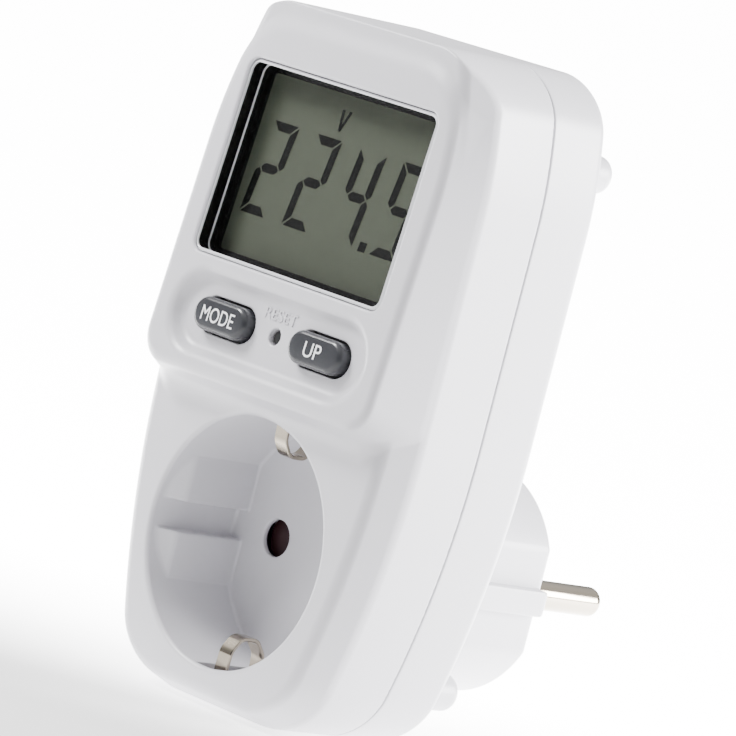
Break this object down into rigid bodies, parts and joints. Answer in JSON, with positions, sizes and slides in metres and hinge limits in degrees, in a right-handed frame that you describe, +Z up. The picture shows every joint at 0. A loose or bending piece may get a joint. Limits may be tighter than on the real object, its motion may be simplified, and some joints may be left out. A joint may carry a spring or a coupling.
{
  "type": "plug in power meter",
  "caption": "Plug-in mains energy meter: white case with a segment display, two keys and a reset hole above an earthed outlet well, and a two-pin earthed plug behind.",
  "frame": {"origin": "centre of the plug's face, midway between the two pins", "axes": "+Y the way the plug goes into the wall outlet, +Z up along the case, +X to the right of a person who reads the display"},
  "size_m": [0.06, 0.0758, 0.1084],
  "materials": {
    "white_abs": "satin gloss moulded ABS",
    "clear_window": "clear polished acrylic",
    "black_carrier": "matt black moulded plastic",
    "display_glass": "grey-green reflective segment display",
    "grey_key": "satin moulded grey key",
    "nickel": "nickel plated brass",
    "spring_bronze": "phosphor bronze",
    "manganin": "resistance alloy strip",
    "dark_red_nylon": "dark red glass-filled nylon",
    "steel": "zinc plated steel",
    "board": "green solder mask",
    "power_board": "bare phenolic board",
    "black_component": "moulded epoxy",
    "yellow_film": "flame-retardant film capacitor case",
    "blue_coating": "epoxy coated",
    "sleeve": "shrink sleeve",
    "silicone": "silicone rubber",
    "lead_pvc": "PVC insulation"
  },
  "bodies": {
    "meter": {"front_housing": "white_abs", "rear_housing": "white_abs", "display_window": "clear_window", "lcd_holder": "black_carrier", "lcd_panel": "display_glass", "zebra_strip": "silicone", "display_board": "board", "board_screws": "steel", "mode_switch": "black_component", "up_switch": "black_component", "reset_switch": "black_component", "metering_chip": "black_component", "clock_crystal": "steel", "plug_pin_live": "nickel", "plug_pin_neutral": "nickel", "contact_live": "spring_bronze", "contact_neutral": "spring_bronze", "shunt_link": "manganin", "neutral_link": "spring_bronze", "earth_strap_upper": "nickel", "earth_strap_lower": "nickel", "earth_bridge": "nickel", "shutter_spring": "steel", "shutter_retainer": "steel", "power_board": "power_board", "x2_capacitor": "yellow_film", "electrolytic_capacitor": "sleeve", "varistor": "blue_coating", "fuse": "black_component", "backup_cell": "sleeve", "board_link": "black_component", "supply_leads": "lead_pvc", "case_screws": "steel"},
    "mode_key": {"mode_button": "grey_key", "mode_plunger": "black_component"},
    "up_key": {"up_button": "grey_key", "up_plunger": "black_component"},
    "reset_key": {"reset_button": "grey_key", "reset_plunger": "black_component"},
    "shutter_lever": {"shutter": "dark_red_nylon"}
  },
  "joints": [
    {"name": "mode_press", "type": "slide", "parent": "meter", "child": "mode_key", "axis": [0, 0.9966, -0.0821], "range_m": [0, 0.0004], "stiffness_N_per_m": 1500, "springref_m": -0.0003},
    {"name": "up_press", "type": "slide", "parent": "meter", "child": "up_key", "axis": [0, 0.9966, -0.0821], "range_m": [0, 0.0004], "stiffness_N_per_m": 1500, "springref_m": -0.0003},
    {"name": "reset_press", "type": "slide", "parent": "meter", "child": "reset_key", "axis": [0, 0.9966, -0.0821], "range_m": [0, 0.0004], "stiffness_N_per_m": 1500, "springref_m": -0.0003},
    {"name": "shutter_turn", "type": "hinge", "parent": "meter", "child": "shutter_lever", "pos_m": [0, -0.0313, 0], "axis": [0, 1, 0], "range_deg": [0, 44], "stiffness_Nm_per_rad": 0.004, "springref_deg": -17.19}
  ]
}
